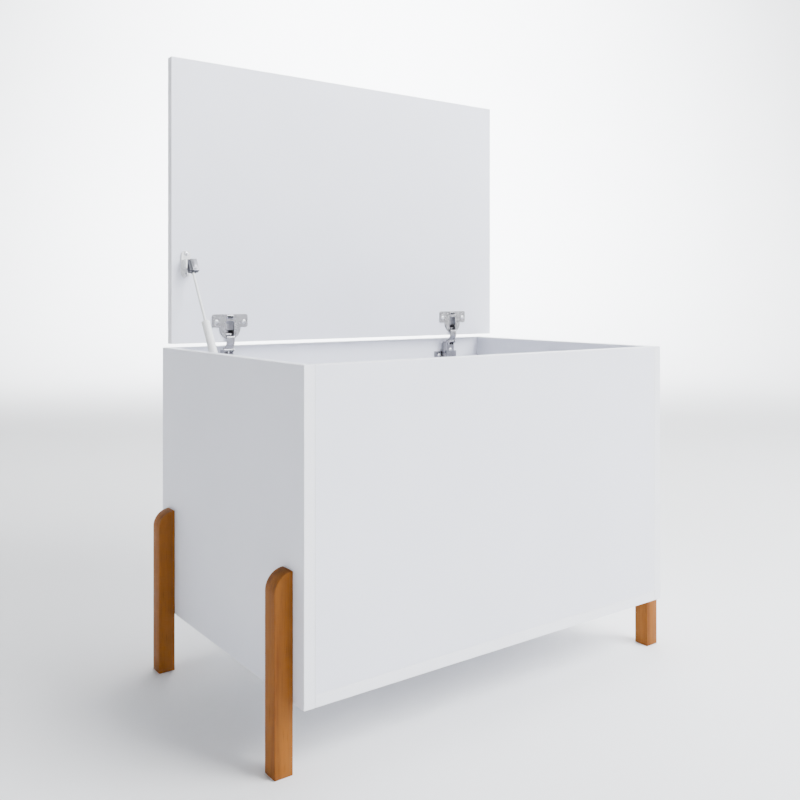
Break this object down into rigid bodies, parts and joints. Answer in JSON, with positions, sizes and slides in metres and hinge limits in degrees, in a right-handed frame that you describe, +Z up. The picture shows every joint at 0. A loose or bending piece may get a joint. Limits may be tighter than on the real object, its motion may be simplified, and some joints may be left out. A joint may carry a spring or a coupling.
{
  "type": "storage bench",
  "caption": "Low white storage box on short solid wood legs, with a lift-up lid on concealed cup hinges held by a telescoping lid stay.",
  "frame": {"origin": "on the floor, under the middle of the box", "axes": "+X to the right, -Y out of the front, +Z up; the lid stands open at a right angle at rest"},
  "size_m": [0.71, 0.446, 0.946],
  "materials": {
    "white_board": "white melamine-faced board with matching edge band, satin",
    "leg_wood": "warm brown stained solid wood, straight grain, satin lacquer",
    "hinge_nickel": "nickel-plated pressed steel",
    "screw_steel": "bright zinc-plated steel",
    "stay_enamel": "white enamel",
    "socket_plastic": "dark grey moulded plastic"
  },
  "bodies": {
    "box": {"back_panel": "white_board", "bottom_panel": "white_board", "box_bracket_screw_lower": "screw_steel", "box_bracket_screw_upper": "screw_steel", "front_panel": "white_board", "hinge_arm_left": "hinge_nickel", "hinge_arm_pin_left": "screw_steel", "hinge_arm_pin_right": "screw_steel", "hinge_arm_right": "hinge_nickel", "hinge_clamp_screw_left": "screw_steel", "hinge_clamp_screw_right": "screw_steel", "hinge_depth_screw_left": "screw_steel", "hinge_depth_screw_right": "screw_steel", "hinge_plate_left": "hinge_nickel", "hinge_plate_right": "hinge_nickel", "leg_back_left": "leg_wood", "leg_back_right": "leg_wood", "leg_bolt_back_left_lower": "screw_steel", "leg_bolt_back_left_upper": "screw_steel", "leg_bolt_back_right_lower": "screw_steel", "leg_bolt_back_right_upper": "screw_steel", "leg_bolt_front_left_lower": "screw_steel", "leg_bolt_front_left_upper": "screw_steel", "leg_bolt_front_right_lower": "screw_steel", "leg_bolt_front_right_upper": "screw_steel", "leg_front_left": "leg_wood", "leg_front_right": "leg_wood", "plate_screw_left_inner": "screw_steel", "plate_screw_left_outer": "screw_steel", "plate_screw_right_inner": "screw_steel", "plate_screw_right_outer": "screw_steel", "side_panel_left": "white_board", "side_panel_right": "white_board", "stay_bracket_box": "stay_enamel"},
    "hinge_links": {"hinge_link_left": "hinge_nickel", "hinge_link_right": "hinge_nickel"},
    "lid": {"cup_screw_left_inner": "screw_steel", "cup_screw_left_outer": "screw_steel", "cup_screw_right_inner": "screw_steel", "cup_screw_right_outer": "screw_steel", "hinge_cup_left": "hinge_nickel", "hinge_cup_pin_left": "screw_steel", "hinge_cup_pin_right": "screw_steel", "hinge_cup_right": "hinge_nickel", "lid": "white_board", "lid_bracket_screw_lower": "screw_steel", "lid_bracket_screw_upper": "screw_steel", "stay_bracket_lid": "stay_enamel"},
    "stay_top": {"stay_clip": "hinge_nickel", "stay_rod_upper": "stay_enamel", "stay_socket_upper": "socket_plastic"},
    "stay_tube": {"stay_tube": "stay_enamel"},
    "stay_foot": {"stay_rod_lower": "stay_enamel", "stay_socket_lower": "socket_plastic"}
  },
  "joints": [
    {"name": "link_swing", "type": "hinge", "parent": "box", "child": "hinge_links", "pos_m": [0, 0.19011, 0.48743], "axis": [1, 0, 0], "range_deg": [-53.57, 0]},
    {"name": "lid_turn", "type": "hinge", "parent": "hinge_links", "child": "lid", "pos_m": [0, 0.192, 0.512], "axis": [1, 0, 0], "range_deg": [0, 143.56]},
    {"name": "stay_swing", "type": "hinge", "parent": "lid", "child": "stay_top", "pos_m": [0, 0.1745, 0.624], "axis": [1, 0, 0], "range_deg": [-92.62, 0]},
    {"name": "stay_tube_slide", "type": "slide", "parent": "stay_top", "child": "stay_tube", "axis": [0, 0.5299, 0.848], "range_m": [0, 0.0801]},
    {"name": "stay_foot_slide", "type": "slide", "parent": "stay_tube", "child": "stay_foot", "axis": [0, 0.5299, 0.848], "range_m": [0, 0.07944]}
  ],
  "couplings": [
    {"joint": "link_swing", "follows": "lid_turn", "ratio": -0.37311},
    {"joint": "stay_swing", "follows": "lid_turn", "ratio": -0.64508},
    {"joint": "stay_tube_slide", "follows": "lid_turn", "m_per_rad": 0.031927},
    {"joint": "stay_foot_slide", "follows": "lid_turn", "m_per_rad": 0.031664}
  ]
}
